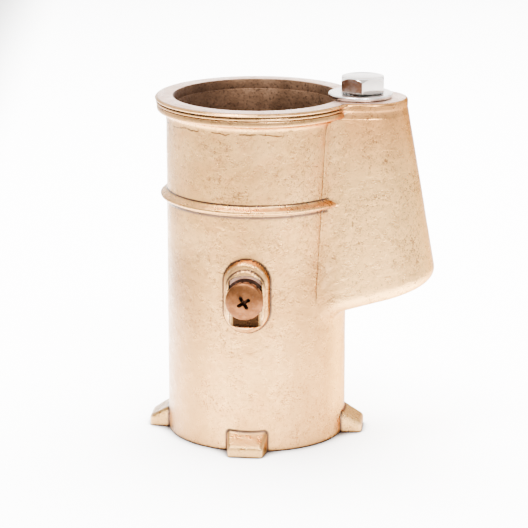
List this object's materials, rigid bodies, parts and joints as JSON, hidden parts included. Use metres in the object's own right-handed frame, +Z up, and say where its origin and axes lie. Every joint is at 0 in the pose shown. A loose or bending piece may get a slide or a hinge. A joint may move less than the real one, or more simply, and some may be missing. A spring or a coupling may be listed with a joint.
{
  "type": "deck anchor socket",
  "caption": "Cast bronze floor socket for a 48.3 mm rail tube, with a wedge drawn up by a hex bolt in a side pocket, and a bonding screw.",
  "frame": {"origin": "on the floor plane z = 0 that the foot stands on, under the middle of the object's box; the bore's axis is the line x = -0.01055, y = 0.0012", "axes": "+Z up along the bore, out of its mouth; +X from the bore towards the wedge pocket; -Y towards the bonding boss"},
  "size_m": [0.0861, 0.0674, 0.1093],
  "materials": {
    "cast_bronze": "sand-cast and tumbled, pale rose bronze, machined top face",
    "wedge_bronze": "sand-cast",
    "stainless": "cold headed, bright",
    "washer_steel": "stamped, bright",
    "screw_bronze": "darkened copper brown",
    "bonding_washer_bronze": "darkened bronze"
  },
  "bodies": {
    "socket": {"socket_body": "cast_bronze"},
    "wedge": {"wedge": "wedge_bronze"},
    "washer": {"flat_washer": "washer_steel"},
    "bolt": {"wedge_bolt": "stainless"},
    "bonding_washer": {"bonding_washer": "bonding_washer_bronze"},
    "bonding_screw": {"bonding_screw": "screw_bronze"}
  },
  "joints": [
    {"name": "wedge_slide", "type": "slide", "parent": "socket", "child": "wedge", "axis": [-0.1736, 0, 0.9848], "range_m": [0, 0.008]},
    {"name": "washer_slide", "type": "slide", "parent": "socket", "child": "washer", "axis": [-1, 0, 0], "range_m": [0, 0.0014]},
    {"name": "bolt_turn", "type": "hinge", "parent": "washer", "child": "bolt", "pos_m": [0.02105, 0.0012, 0.104], "axis": [0, 0, 1], "range_deg": [-2012, 0]},
    {"name": "bonding_washer_slide", "type": "slide", "parent": "socket", "child": "bonding_washer", "axis": [0, -1, 0], "range_m": [0, 0.003]},
    {"name": "bonding_screw_turn", "type": "hinge", "parent": "bonding_washer", "child": "bonding_screw", "pos_m": [-0.01055, -0.0295, 0.0482], "axis": [0, -1, 0], "range_deg": [0, 1022]}
  ],
  "couplings": [
    {"joint": "washer_slide", "follows": "wedge_slide", "ratio": 0.17365},
    {"joint": "bolt_turn", "follows": "wedge_slide", "rad_per_m": -4385},
    {"joint": "bonding_screw_turn", "follows": "bonding_washer_slide", "rad_per_m": 5936.9}
  ]
}
